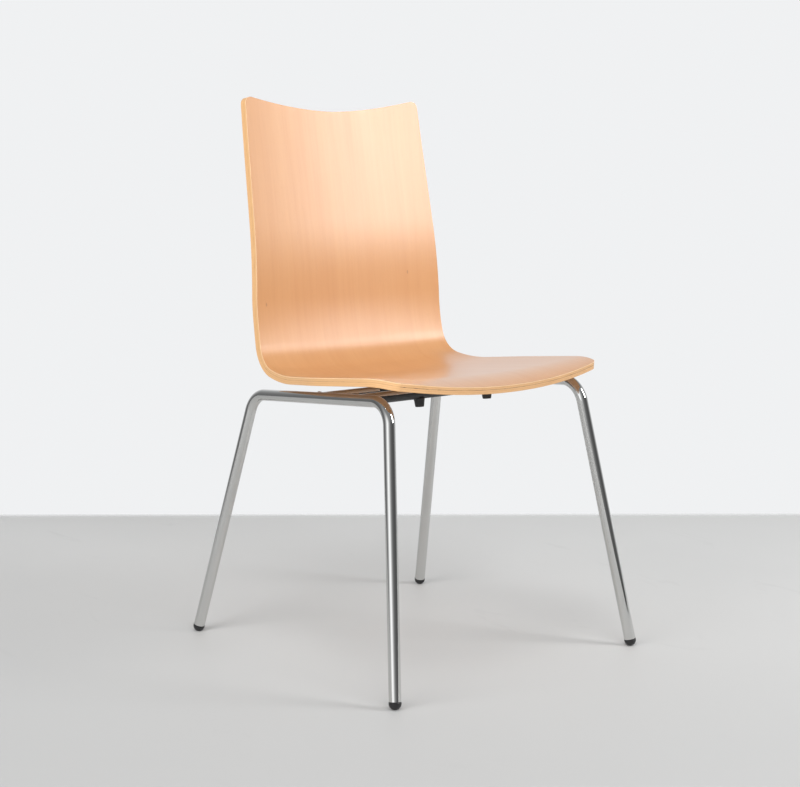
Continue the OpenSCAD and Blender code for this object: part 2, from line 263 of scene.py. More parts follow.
# sliced beech: long soft bands, fine pores along the grain, short dark ray flecks, satin lacquer
def beechVeneer(name, shift):
    mat, tree, shader = newMaterial(name)
    uv = addNode(tree, "ShaderNodeUVMap", uv_map="Grain")
    place = vectorWith(tree, "ADD", uv.outputs[0], (shift, shift * beech["slant"], 0)).outputs[0]
    wander = drawnNoise(tree, place, *beechGrain["wander"])
    lean = addNode(tree, "ShaderNodeCombineXYZ")
    link(tree, times(tree, wander, beech["wander"]), lean.inputs[0])
    bent = addNode(tree, "ShaderNodeVectorMath", operation="ADD")
    link(tree, place, bent.inputs[0])
    link(tree, lean.outputs[0], bent.inputs[1])
    grain = bent.outputs[0]
    bands = drawnNoise(tree, grain, *beechGrain["bands"])
    streaks = drawnNoise(tree, grain, *beechGrain["streaks"])
    pores = drawnNoise(tree, grain, *beechGrain["pores"])
    blotches = drawnNoise(tree, place, *beechGrain["blotches"])
    flecks = drawnNoise(tree, grain, *beechGrain["flecks"])
    tone = remap(tree, bands, *wide, *beechTone["bands"])
    tone = plus(tree, tone, remap(tree, streaks, *wide, *beechTone["streaks"]))
    tone = plus(tree, tone, remap(tree, blotches, *narrow, *beechTone["blotches"]))
    base = mixColor(tree, tone, beech["light"], beech["dark"])
    poreTone = remap(tree, pores, *beech["poreLimits"], *beechTone["pores"])
    base = mixColor(tree, poreTone, base, beech["fleck"])
    fleckTone = remap(tree, flecks, *beech["fleckLimits"], *beechTone["flecks"])
    base = mixColor(tree, fleckTone, base, beech["fleck"])
    across, along = beech["knotShape"]
    for x, y in beech["knots"]:
        knotPlace = stretch(tree, place, (across, along, 0))
        toKnot = vectorWith(tree, "DISTANCE", knotPlace, (x * across, y * along, 0)).outputs["Value"]
        darkness = remap(tree, toKnot, *beech["knotEdge"], beech["knotDepth"], 0)
        base = mixColor(tree, darkness, base, beech["fleck"])
    link(tree, base, shader.inputs["Base Color"])
    shader.inputs["Specular IOR Level"].default_value = beech["shine"]
    polished, worn = beech["roughness"] + beech["polished"], beech["roughness"] + beech["worn"]
    link(tree, remap(tree, streaks, *wide, polished, worn), shader.inputs["Roughness"])
    shader.inputs["Coat Weight"].default_value = beech["lacquer"]
    shader.inputs["Coat Roughness"].default_value = beech["lacquerRoughness"]
    height = plus(tree, times(tree, pores, beech["poreRelief"]), times(tree, streaks, beech["streakRelief"]))
    link(tree, bumpNode(tree, height, beech["relief"], beech["reliefDepth"]), shader.inputs["Normal"])
    return mat


edgeLook = {
    "plyThickness": 1.5,      # mm
    "glueLine": 0.24,         # share of a ply
    "frontLength": 400,       # mm of rim, from the first corner, that belong to the front edge
    "frontFade": 30,          # mm over which the marks grow fainter past it
    "sideMarks": 0.35,        # strength of the marks along the sides
    "faceHighlightDepth": (0.9, 1.7),  # mm, where the pale face veneer, with a painted highlight along the front arris, gives way to the core
    "markedPly": 3.0,         # the ply with the dark stretches and the gaps
    "light": (0.84, 0.51, 0.25),
    "dark": (0.66, 0.36, 0.15),
    # rim colour of the front face veneer: partly its own paler tone, partly a painted highlight along the arris
    "face": (0.93, 0.66, 0.40),
    "glue": (0.27, 0.13, 0.055),
    # near black of the small gaps: painted shade inside the voids
    "gap": (0.10, 0.05, 0.03),
    "roughness": 0.48,
    "lacquer": 0.25,
    "lacquerRoughness": 0.3,
    "relief": 0.25,
    "reliefDepth": 0.0002,    # m
    "grainShift": 7.31,       # moves the grain on from one ply to the next
    "crossTone": 0.36,        # how much darker every other ply is, then the grain's own share
    "longTone": (0, 0.28),
    "endTone": (0, 0.14),
    "faceHighlightShare": 0.8,
    "glueStrength": (0.4, 0.95),
    "markedStrength": (0.15, 0.62),
    "gapLimits": (0.62, 0.65, 0, 0.95),
    "gapShape": (0.15, 0.35, 1, 0),    # gaps keep to the middle of their ply
}

# noises of the edge: repeats per millimetre along the rim, through the plies and between them
edgeGrain = {
    "long": ((0.05, 2.2, 1), 3, 0.6),
    "end": ((3.0, 3.0, 1), 2, 0.6),
    "glue": ((0.03, 0.5, 1), 2),
    "gap": ((0.10, 0.9, 1), 1),
}


# cut edge of the plywood: plies by depth (UV v in mm), every other ply darker, small gaps painted near black as
# shade, and a painted highlight on the front face veneer
def plyEdge(name):
    mat, tree, shader = newMaterial(name)
    uv = addNode(tree, "ShaderNodeUVMap", uv_map="Grain")
    split = addNode(tree, "ShaderNodeSeparateXYZ")
    link(tree, uv.outputs[0], split.inputs[0])
    along = split.outputs[0]
    through = split.outputs[1]
    depth = mathNode(tree, "DIVIDE", through, edgeLook["plyThickness"])
    ply = mathNode(tree, "FLOOR", depth)
    inPly = mathNode(tree, "FRACT", depth)
    crossPly = mathNode(tree, "MODULO", ply, 2.0)
    combine = addNode(tree, "ShaderNodeCombineXYZ")
    link(tree, along, combine.inputs[0])
    link(tree, through, combine.inputs[1])
    link(tree, times(tree, ply, edgeLook["grainShift"]), combine.inputs[2])
    place = combine.outputs[0]
    longGrain = drawnNoise(tree, place, *edgeGrain["long"])
    endGrain = drawnNoise(tree, place, *edgeGrain["end"])
    tone = times(tree, crossPly, edgeLook["crossTone"])
    tone = plus(tree, tone, remap(tree, longGrain, *wide, *edgeLook["longTone"]))
    tone = plus(tree, tone, remap(tree, endGrain, *narrow, *edgeLook["endTone"]))
    base = mixColor(tree, tone, edgeLook["light"], edgeLook["dark"])
    # the front face veneer's cut edge is paler: partly its own tone, partly a painted highlight along the arris
    faceAndHighlightTone = remap(tree, through, *edgeLook["faceHighlightDepth"], edgeLook["faceHighlightShare"], 0)
    base = mixColor(tree, faceAndHighlightTone, base, edgeLook["face"])
    fromMiddle = mathNode(tree, "ABSOLUTE", mathNode(tree, "SUBTRACT", inPly, 0.5))
    line = remap(tree, fromMiddle, 0.5 - edgeLook["glueLine"], 0.5, 0, 1)
    glueNoise = drawnNoise(tree, place, *edgeGrain["glue"])
    line = times(tree, line, remap(tree, glueNoise, *narrow, *edgeLook["glueStrength"]))
    frontEnd = edgeLook["frontLength"]
    atFront = remap(tree, along, frontEnd, frontEnd + edgeLook["frontFade"], 1, edgeLook["sideMarks"])
    line = times(tree, line, atFront)
    markedPly = mathNode(tree, "COMPARE", ply, edgeLook["markedPly"], 0.5)
    darkness = times(tree, markedPly, remap(tree, longGrain, *narrow, *edgeLook["markedStrength"]))
    base = mixColor(tree, times(tree, darkness, atFront), base, edgeLook["glue"])
    base = mixColor(tree, line, base, edgeLook["glue"])
    # painted shade: the small gaps are coloured near black where the voids would lie in shade, with a matching
    # dip in the relief
    gapNoise = drawnNoise(tree, place, *edgeGrain["gap"])
    gap = remap(tree, gapNoise, *edgeLook["gapLimits"])
    gap = times(tree, gap, remap(tree, fromMiddle, *edgeLook["gapShape"]))
    gap = times(tree, times(tree, gap, markedPly), atFront)
    base = mixColor(tree, gap, base, edgeLook["gap"])
    link(tree, base, shader.inputs["Base Color"])
    shader.inputs["Roughness"].default_value = edgeLook["roughness"]
    shader.inputs["Coat Weight"].default_value = edgeLook["lacquer"]
    shader.inputs["Coat Roughness"].default_value = edgeLook["lacquerRoughness"]
    height = mathNode(tree, "SUBTRACT", 1.0, plus(tree, line, gap))
    link(tree, bumpNode(tree, height, edgeLook["relief"], edgeLook["reliefDepth"]), shader.inputs["Normal"])
    return mat


plating = {
    "color": (0.67, 0.67, 0.66),
    "cloudy": (0.61, 0.61, 0.60),
    "roughness": 0.025,
    "weldRoughness": 0.16,
    "hazy": 0.06,                        # added to the roughness where it is smudged
    "smudges": ((22, 22, 14), 4, 0.6),   # repeats per metre, detail, roughness
    "polish": ((900, 900, 260), 2),
    "relief": 0.02,
    "reliefDepth": 0.0001,               # m
    "cloudLimits": (0.4, 0.7, 0, 0.25),
    "hazeLimits": (0.35, 0.75),
}


# bright plating over a drawn tube: faint lengthwise polish marks and smudges in the gloss
def chromePlate(name, roughness):
    mat, tree, shader = newMaterial(name)
    coord = objectPlace(tree)
    smudge = drawnNoise(tree, coord, *plating["smudges"])
    fine = drawnNoise(tree, coord, *plating["polish"])
    shader.inputs["Metallic"].default_value = 1
    tint = mixColor(tree, remap(tree, smudge, *plating["cloudLimits"]), plating["color"], plating["cloudy"])
    link(tree, tint, shader.inputs["Base Color"])
    haze = remap(tree, smudge, *plating["hazeLimits"], roughness, roughness + plating["hazy"])
    link(tree, haze, shader.inputs["Roughness"])
    link(tree, bumpNode(tree, fine, plating["relief"], plating["reliefDepth"]), shader.inputs["Normal"])
    return mat


# colour, roughness, grains per metre, and strength of the scuffs
plasticLook = {
    "strip": ((0.020, 0.020, 0.021), 0.42, 2400, 0.10),
    "knob": ((0.018, 0.018, 0.019), 0.48, 2600, 0.15),
    "glide": ((0.012, 0.012, 0.013), 0.33, 1800, 0.20),
    "spacer": ((0.025, 0.025, 0.026), 0.5, 2400, 0.05),
    "wear": (130, 5, 0.7),    # noise of the scuffs
    "relief": 0.18,
    "reliefDepth": 0.0002,    # m
    "scuffLimits": (0.55, 0.75),
    "scuffPaler": (5, 0.04),  # a scuff's colour: times this, plus this
    "smoother": -0.05,
    "rougher": 0.1,
}


# moulded black plastic: fine spark-eroded grain, paler scuffs where it rubs
def blackPlastic(name, color, roughness, grainScale, scuff):
    mat, tree, shader = newMaterial(name)
    coord = objectPlace(tree)
    grain = noiseTex(tree, coord, grainScale, 2, 0.6)
    wear = noiseTex(tree, coord, *plasticLook["wear"])
    factor, paler = plasticLook["scuffPaler"]
    scuffed = [min(1, c * factor + paler) for c in color]
    tone = mixColor(tree, remap(tree, wear, *plasticLook["scuffLimits"], 0, scuff), color, scuffed)
    link(tree, tone, shader.inputs["Base Color"])
    smooth, rough = roughness + plasticLook["smoother"], roughness + plasticLook["rougher"]
    link(tree, remap(tree, wear, *wide, smooth, rough), shader.inputs["Roughness"])
    relief = bumpNode(tree, grain, plasticLook["relief"], plasticLook["reliefDepth"])
    link(tree, relief, shader.inputs["Normal"])
    return mat


zincLook = {
    "blue": (0.50, 0.51, 0.53),
    "pale": (0.68, 0.68, 0.66),
    "roughness": (0.26, 0.42),
    "clouds": (260, 4, 0.6),
    "relief": 0.08,
    "reliefDepth": 0.0002,    # m
}


# zinc-plated steel of the hidden fixings
def zincSteel(name):
    mat, tree, shader = newMaterial(name)
    cloud = noiseTex(tree, objectPlace(tree), *zincLook["clouds"])
    shader.inputs["Metallic"].default_value = 1
    link(tree, mixColor(tree, cloud, zincLook["blue"], zincLook["pale"]), shader.inputs["Base Color"])
    link(tree, remap(tree, cloud, *wide, *zincLook["roughness"]), shader.inputs["Roughness"])
    link(tree, bumpNode(tree, cloud, zincLook["relief"], zincLook["reliefDepth"]), shader.inputs["Normal"])
    return mat


frontVeneerMat = beechVeneer("beechFaceFront", 0.0)
backVeneerMat = beechVeneer("beechFaceBack", 3.7)
edgeMat = plyEdge("plyEdge")
chromeMat = chromePlate("chromePlate", plating["roughness"])
weldMat = chromePlate("platedWeld", plating["weldRoughness"])
stripMat = blackPlastic("stripPlastic", *plasticLook["strip"])
knobMat = blackPlastic("knobPlastic", *plasticLook["knob"])
glideMat = blackPlastic("glideNylon", *plasticLook["glide"])
spacerMat = blackPlastic("spacerPlastic", *plasticLook["spacer"])
steelMat = zincSteel("zincSteel")
print("materials ready")


# seat shell, in mm and degrees; a pair is the length of a stretch of the side profile and its turn
shellSizes = {
    "thickness": 12.0, "veneer": 1.5, "seatWidth": 438.0, "backWidth": 380.0, "topWidth": 352.5,
    "dish": 11.9, "dishLoss": 4.0, "dishFade": 130, "seatSlope": 5.2,
    "roll": (82.5, -22.2), "frontRun": 56.5, "rearRun": 140.0, "hollow": (65.0, 16.2), "bend": (52.5, 66.4),
    "easing": (74.0, 11.0), "lumbar": (124.0, -8.2), "upper": 97.0, "top": (81.0, 1.6),
    "earRise": 21.0, "topPower": 1.7, "topCorner": 13.3,
    "frontBow": 29.0, "frontPower": 2.3, "frontCorner": 9.0, "frontTaper": 13.0,
    "flareBlend": 0.006, "flarePower": 1.8,
    "arris": 0.7,             # rounding of the outer edges
}
shellMesh = {"columns": 44, "cornerSteps": 10, "spacing": 6.5, "gather": 0.55, "arrisSteps": 3}
tubeSizes = {
    "radius": 9.0, "crossRadius": 8.0, "wall": 1.5, "railX": 193.5, "railLength": 337.7, "railY": -14.511,
    "railZ": 413.7, "pitch": 4.1, "lean": 6.85, "frontSplay": 5.95, "rearSplay": 18.7, "bendRadius": 38.0,
    "frontLeg": 426.535, "rearLeg": 408.782, "glideCollar": 2.5,
    "frontTubeY": -89.0, "rearTubeY": 2.4, "padThickness": 2.6,
    "crossInset": 0.55,       # how far a cross tube reaches into the rail, as a share of its radius
}
tubeMesh = {"around": 64, "legSteps": 24, "bendSteps": 32, "railSteps": 16, "crossSteps": 40}


# y and z of a cross tube's axis, a distance y along the rails
def crossPlace(y):
    return tubeSizes["railY"] + y, tubeSizes["railZ"] - y * tanD(tubeSizes["pitch"])


frontTube = crossPlace(tubeSizes["frontTubeY"])
rearTube = crossPlace(tubeSizes["rearTubeY"])


# goes on from (y, z, heading) along an arc
def arcStep(pose, length, turn):
    y, z, heading = pose
    if abs(turn) < 0.001:
        return (y + length * cosD(heading), z + length * sinD(heading), heading)
    r = length / turn * 180 / math.pi
    return (y + r * (sinD(heading + turn) - sinD(heading)), z - r * (cosD(heading + turn) - cosD(heading)),
            heading + turn)


# surface of the shell: d runs along the side profile from the front edge, x across it
class ShellShape:
    def __init__(self, sizes):
        self.s = s = sizes
        lift = tubeSizes["crossRadius"] + tubeSizes["padThickness"] + s["thickness"] + s["dish"]
        anchor = (frontTube[0] + sinD(s["seatSlope"]) * lift, frontTube[1] + cosD(s["seatSlope"]) * lift,
                  -s["seatSlope"])
        rollEnd = arcStep(anchor, -s["frontRun"], 0)
        self.start = arcStep(rollEnd, -s["roll"][0], -s["roll"][1])
        self.runs = [s["roll"], (s["frontRun"] + s["rearRun"], 0), s["hollow"], s["bend"], s["easing"],
                     s["lumbar"], (s["upper"], 0), (s["top"][0] + s["earRise"], s["top"][1])]
        self.ends = []
        total = 0
        for length, turn in self.runs:
            total += length
            self.ends.append(total)
        self.bendMid = self.ends[2] + s["bend"][0] / 2
        self.flareEnd = self.ends[0] + s["frontRun"] + s["rearRun"] / 2
        self.flareStart = self.ends[3] + s["easing"][0] / 2
        self.taperStart = s["roll"][0] + s["frontRun"] / 4
        self.frontSide = self.frontEdge(self.halfWidth(s["frontBow"]) - s["frontCorner"])
        self.topSide = self.topEdge(self.halfWidth(self.ends[7]) - s["topCorner"])

    def pose(self, d):
        at = self.start
        last = len(self.runs) - 1
        for i, (length, turn) in enumerate(self.runs):
            if d <= length or i == last:
                return arcStep(at, d, turn * d / length)
            at = arcStep(at, length, turn)
            d -= length

    def halfWidth(self, d):
        s = self.s
        t = (self.flareStart - d) / (self.flareStart - self.flareEnd)
        t = (1 + t - math.sqrt((1 - t) ** 2 + s["flareBlend"])) / 2
        flare = 0 if t <= 0 else t ** s["flarePower"]
        narrowing = 0 if d < self.ends[4] else (d - self.ends[4]) / (self.ends[7] - self.ends[4])
        nose = 0
        if d <= self.taperStart:
            nose = s["frontTaper"] * ((self.taperStart - d) / (self.taperStart - s["frontBow"])) ** 2
        return (s["backWidth"] / 2 + (s["seatWidth"] - s["backWidth"]) / 2 * flare
                - (s["backWidth"] - s["topWidth"]) / 2 * narrowing - nose)

    def dishAt(self, d):
        t = min(1, abs(d - self.bendMid) / self.s["dishFade"])
        return self.s["dish"] - self.s["dishLoss"] * (1 - t * t) ** 2

    def frontEdge(self, x):
        s = self.s
        return s["frontBow"] * (abs(x) / (s["seatWidth"] / 2 - s["frontTaper"])) ** s["frontPower"]

    def topEdge(self, x):
        s = self.s
        return self.ends[6] + s["top"][0] + s["earRise"] * (abs(x) / (s["topWidth"] / 2)) ** s["topPower"]

    # moves d so that the rows follow the curved front and top edges
    def station(self, x, d):
        s = self.s
        frontFade = s["roll"][0] + s["frontRun"]
        topFade = s["upper"] + s["top"][0]
        return (d + (self.frontEdge(x) - self.frontSide) * max(0, 1 - (d - self.frontSide) / frontFade)
                + (self.topEdge(x) - self.topSide) * max(0, 1 - (self.topSide - d) / topFade))

    # point a depth below the face, u from -1 to 1 across a row
    def point(self, row, u, depth):
        x = u * row[1]
        d = self.station(x, row[0])
        y, z, heading = self.pose(d)
        half = self.halfWidth(d)
        dish = self.dishAt(d)
        out = (sinD(heading), -cosD(heading))
        sink = dish * (1 - (x / half) ** 2)
        tilt = 2 * dish * x / (half * half)
        size = math.hypot(tilt, 1)
        fall = sink + depth / size
        return (x + depth * tilt / size, y + fall * out[0], z + fall * out[1]), d

    # rows from front to top, each with its d at the side and its half width; rounded at the corners
    def rows(self, cornerSteps, spacing):
        s = self.s
        result = []
        for k in range(cornerSteps + 1):
            a = 90 * k / cornerSteps
            d = self.frontSide + s["frontCorner"] * (1 - cosD(a))
            result.append((d, self.halfWidth(d) - s["frontCorner"] * (1 - sinD(a))))
        first = self.frontSide + s["frontCorner"]
        last = self.topSide - s["topCorner"]
        steps = int((last - first) / spacing)
        for i in range(1, steps):
            d = first + (last - first) * i / steps
            result.append((d, self.halfWidth(d)))
        for k in range(cornerSteps, -1, -1):
            a = 90 * k / cornerSteps
            d = self.topSide - s["topCorner"] * (1 - cosD(a))
            result.append((d, self.halfWidth(d) - s["topCorner"] * (1 - sinD(a))))
        return result


shell = ShellShape(shellSizes)


# one glued layer between two depths: material 0 on the faces, material 1 round the rim
def shellLayer(name, depthA, depthB, materials, roundEnd):
    columns = shellMesh["columns"]
    rows = shell.rows(shellMesh["cornerSteps"], shellMesh["spacing"])
    perRow = columns + 1
    # columns gather towards the sides, so that the corner arcs meet narrow cells
    even = [2 * i / columns - 1 for i in range(perRow)]
    gather = shellMesh["gather"]
    spread = [math.sin(math.pi / 2 * u) * gather + u * (1 - gather) for u in even]
    verts = []
    run = []
    for depth in (depthA, depthB):
        for row in rows:
            for u in spread:
                place, d = shell.point(row, u, depth)
                verts.append(place)
                run.append((u * row[1] / 1000, d / 1000))
    layer = len(rows) * perRow
    last = len(rows) - 1
    faces = []
    uvs = []
    for j in range(last):
        for i in range(columns):
            a = j * perRow + i
            upper = (a, a + perRow, a + perRow + 1, a + 1)
            for quad in (upper, tuple(corner + layer for corner in reversed(upper))):
                faces.append(quad)
                uvs.append([run[corner] for corner in quad])
    faceMats = [0] * len(faces)
    loop = (list(range(perRow)) + [j * perRow + columns for j in range(1, last + 1)]
            + [last * perRow + i for i in range(columns - 1, -1, -1)]
            + [j * perRow for j in range(last - 1, 0, -1)])
    topRim = list(zip(loop, loop[1:] + loop[:1]))
    lowRim = [(a + layer, b + layer) for a, b in topRim]
    along = 0
    for a, b in topRim:
        further = along + math.dist(verts[a], verts[b])
        faces.append((a, b, b + layer, a + layer))
        uvs.append([(along, depthA), (further, depthA), (further, depthB), (along, depthB)])
        faceMats.append(1)
        along = further
    rounded = {"first": topRim, "second": lowRim, "none": []}[roundEnd]
    sharp = [edge for edge in topRim + lowRim if edge not in rounded]
    obj = makePiece(name, verts, faces, materials, faceMats, uvs, sharp, rounded)
    if rounded:
        arris = obj.modifiers.new("arris", "BEVEL")
        arris.limit_method = "WEIGHT"
        arris.width = shellSizes["arris"] / 1000
        arris.segments = shellMesh["arrisSteps"]
        arris.harden_normals = True
    return obj


thickness = shellSizes["thickness"]
veneer = shellSizes["veneer"]
frontVeneer = shellLayer("frontFaceVeneer", 0, veneer, [frontVeneerMat, edgeMat], "first")
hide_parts("front_face_veneer")
# the veneers hide the core's faces, so it is edge all over
core = shellLayer("plywoodCore", veneer, thickness - veneer, [edgeMat, edgeMat], "none")
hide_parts("plywood_core")
backMats = [backVeneerMat, edgeMat]
backVeneer = shellLayer("backFaceVeneer", thickness - veneer, thickness, backMats, "second")
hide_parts("back_face_veneer")
print("shell built")


# the side frames stand on the rails' middles, pitched with the seat and leaning out
def placedMatrix(side):
    return (Matrix.Translation((side * tubeSizes["railX"], tubeSizes["railY"], tubeSizes["railZ"]))
            @ turnAbout("X", -tubeSizes["pitch"]) @ turnAbout("Y", -side * tubeSizes["lean"]))


legs = (
    (-1, "front", tubeSizes["frontSplay"], tubeSizes["frontLeg"]),
    (1, "rear", tubeSizes["rearSplay"], tubeSizes["rearLeg"]),
)


# centre line of one side frame, drawn flat: front foot, rail, rear foot
def frameLine():
    half = tubeSizes["railLength"] / 2
    r = tubeSizes["bendRadius"]
    parts = []
    for direction, word, splay, leg in legs:
        turn = 90 - splay
        tangent = r * tanD(turn / 2)
        length = leg - tubeSizes["glideCollar"]
        part = []
        for k in range(tubeMesh["legSteps"] + 1):
            d = length - (length - tangent) * k / tubeMesh["legSteps"]
            part.append((half + sinD(splay) * d, -cosD(splay) * d))
        for k in range(1, tubeMesh["bendSteps"] + 1):
            a = splay + turn * k / tubeMesh["bendSteps"]
            part.append((half - tangent + r * cosD(a), -r + r * sinD(a)))
        parts.append([(direction * y, z) for y, z in part])
    front, rear = parts[0], parts[1][::-1]
    a, b = front[-1], rear[0]
    steps = tubeMesh["railSteps"]
    rail = [(a[0] + (b[0] - a[0]) * i / steps, a[1] + (b[1] - a[1]) * i / steps) for i in range(1, steps)]
    return front + rail + rear


# open tube along the line, with its bore showing at both ends
def sweepTube(name, line, side, radius, wall, material):
    count = tubeMesh["around"]
    matrix = placedMatrix(side)
    end = len(line) - 1
    normal = Vector((1, 0, 0))

    def ringAt(i, r):
        a = line[max(0, i - 1)]
        b = line[min(end, i + 1)]
        tangent = Vector((0, b[0] - a[0], b[1] - a[1])).normalized()
        other = tangent.cross(normal)
        centre = Vector((0, line[i][0], line[i][1]))
        angles = [2 * math.pi * k / count for k in range(count)]
        return [tuple(matrix @ (centre + r * (math.cos(w) * normal + math.sin(w) * other))) for w in angles]

    bore = radius - wall
    rings = ([(1, bore), (0, bore)] + [(i, radius) for i in range(end + 1)] + [(end, bore), (end - 1, bore)])
    verts = []
    for i, r in rings:
        verts += ringAt(i, r)
    faces = ringFaces(len(rings), count)
    sharp = []
    for j in (1, 2, len(rings) - 3, len(rings) - 2):
        sharp += [(j * count + k, j * count + (k + 1) % count) for k in range(count)]
    return makePiece(name, verts, [face[::-1] for face in faces], [material], sharp=sharp)


sideLine = frameLine()
for side, word in ((1, "left"), (-1, "right")):
    tube = sweepTube(word + "SideFrame", sideLine, side, tubeSizes["radius"], tubeSizes["wall"], chromeMat)
    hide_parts(word + "_side_frame")

weldSizes = {"bead": 1.7, "ripple": 0.22, "ripples": 30, "lift": 0.1, "steps": 180, "around": 14}


# weld bead round the joint of a cross tube and a rail
def weldBead(name, centre, side):
    s = tubeSizes
    steps, around = weldSizes["steps"], weldSizes["around"]
    along = Vector((0, cosD(s["pitch"]), -sinD(s["pitch"])))
    up = Vector((0, sinD(s["pitch"]), cosD(s["pitch"])))
    inward = Vector((-side, 0, 0))
    middle = Vector((side * s["railX"], centre[0], centre[1]))
    verts = []
    for i in range(steps):
        w = 2 * math.pi * i / steps
        radial = math.cos(w) * along + math.sin(w) * up
        toRail = math.sqrt(s["radius"] ** 2 - (s["crossRadius"] * math.sin(w)) ** 2)
        outward = radial * (s["crossRadius"] + weldSizes["lift"])
        seam = middle + outward - Vector((side * (toRail + weldSizes["lift"]), 0, 0))
        bead = weldSizes["bead"] + weldSizes["ripple"] * math.sin(w * weldSizes["ripples"])
        for k in range(around):
            a = 2 * math.pi * k / around
            verts.append(tuple(seam + bead * (math.cos(a) * radial + math.sin(a) * inward)))
    last = (steps - 1) * around
    closing = [(last + k, last + (k + 1) % around, (k + 1) % around, k) for k in range(around)]
    makePiece(name, verts, ringFaces(steps, around) + closing, [weldMat])


# cross tube between the rails, with a rippled weld bead at each end
def crossTube(name, centre, node):
    count, steps = tubeMesh["around"], tubeMesh["crossSteps"]
    r = tubeSizes["crossRadius"]
    reach = tubeSizes["railX"] - tubeSizes["radius"] * tubeSizes["crossInset"]
    verts = []
    for i in range(steps + 1):
        x = -reach + 2 * reach * i / steps
        for k in range(count):
            w = 2 * math.pi * k / count
            verts.append((x, centre[0] + r * math.cos(w), centre[1] + r * math.sin(w)))
    faces = ringFaces(steps + 1, count)
    tube = makePiece(name, verts, [face[::-1] for face in faces], [chromeMat])
    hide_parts(node)
    for side, word in ((1, "Left"), (-1, "Right")):
        weldBead(name + word + "Weld", centre, side)


crossTube("frontCrossTube", frontTube, "front_cross_tube")
crossTube("rearCrossTube", rearTube, "rear_cross_tube")
print("tubes built")

turnedPoints = 56    # round each glide and knob


# turned pieces: profile of (radius, height) points round an axis
def turned(name, profile, matrix, material, floorCut=False):
    count = turnedPoints
    verts = []
    for r, h in profile:
        for k in range(count):
            w = 2 * math.pi * k / count
            p = matrix @ Vector((r * math.cos(w), r * math.sin(w), h))
            verts.append((p.x, p.y, max(0.0, p.z) if floorCut else p.z))
    first = tuple(range(count))
    last = tuple((len(profile) - 1) * count + k for k in range(count))
    return makePiece(name, verts, ringFaces(len(profile), count) + [first[::-1], last], [material])


glideSizes = {
    "radius": 9.3, "collar": 2.5, "stem": 6.0, "stemRadius": 7.3, "groove": 0.35,
    "grooveHeights": (0.6, 0.9, 1.2, 1.5), "chamfer": 0.3, "shoulder": (0.02, 0.05), "domeSteps": 24,
}


def glideProfile():
    s = glideSizes
    r, stemRadius, collar = s["radius"], s["stemRadius"], s["collar"]
    points = []
    for k in range(1, s["domeSteps"] + 1):
        a = 90 * k / s["domeSteps"]
        points.append((r * sinD(a), -r * cosD(a)))
    inset = (0, s["groove"], s["groove"], 0)
    points += [(r - sunk, height) for sunk, height in zip(inset, s["grooveHeights"])]
    points += [(r, collar - s["chamfer"]), (r - s["chamfer"], collar - s["shoulder"][0]),
               (stemRadius, collar + s["shoulder"][1]), (stemRadius, collar + s["stem"])]
    return points


for side, sideWord in ((1, "left"), (-1, "right")):
    for direction, word, splay, leg in legs:
        # a front glide is a rear one mirrored, so its faces are turned round again
        matrix = (placedMatrix(side) @ Matrix.Diagonal((1, direction, 1, 1))
                  @ Matrix.Translation((0, tubeSizes["railLength"] / 2, 0)) @ turnAbout("X", splay)
                  @ Matrix.Translation((0, 0, -leg)))
        name = word + sideWord.capitalize() + "Glide"
        glide = turned(name, glideProfile(), matrix, glideMat, floorCut=True)
        if direction < 0:
            glide.data.flip_normals()
        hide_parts(word + "_" + sideWord + "_glide")

knobSizes = {
    "root": 8.6, "tip": 6.7, "start": 8.2, "reach": 21.3, "rounding": 0.7, "screwX": 69.4,
    "rootStep": (0.5, 1.0), "taperSteps": 9, "roundSteps": 6,
    "hole": ((3.2, 0.02), (2.6, 0.5), (0.3, 0.5)),    # radius and depth at the tip
}


def knobProfile():
    s = knobSizes
    root, tip, start, reach, rounding = s["root"], s["tip"], s["start"], s["reach"], s["rounding"]
    points = [(root - s["rootStep"][0], -start + s["rootStep"][1]), (root, -start)]
    for k in range(1, s["taperSteps"]):
        f = k / s["taperSteps"]
        points.append((root + (tip - root) * f, -start - (reach - start) * f))
    for k in range(s["roundSteps"] + 1):
        a = 90 * k / s["roundSteps"]
        points.append((tip - rounding + rounding * cosD(a), -reach + rounding - rounding * sinD(a)))
    return points + [(r, -reach + depth) for r, depth in s["hole"]]


for side, word in ((1, "left"), (-1, "right")):
    matrix = (Matrix.Translation((side * knobSizes["screwX"], frontTube[0], frontTube[1]))
              @ turnAbout("X", -shellSizes["seatSlope"]))
    knob = turned(word + "StackingKnob", knobProfile(), matrix, knobMat)
    knob.data.flip_normals()
    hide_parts(word + "_stacking_knob")

# the remaining pieces keep their CAD shape
fittings = (
    (stripMat, ("stacking_strip",)),
    (spacerMat, ("front_left_spacer", "front_right_spacer", "rear_left_spacer", "rear_right_spacer")),
    (steelMat, ("front_seat_screws", "rear_seat_screws", "front_saddle_washers", "rear_saddle_washers",
                "threaded_inserts")),
)
for material, nodeNames in fittings:
    for nodeName in nodeNames:
        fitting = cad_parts[nodeName]
        fitting.data.materials.clear()
        fitting.data.materials.append(material)
print("fittings built")


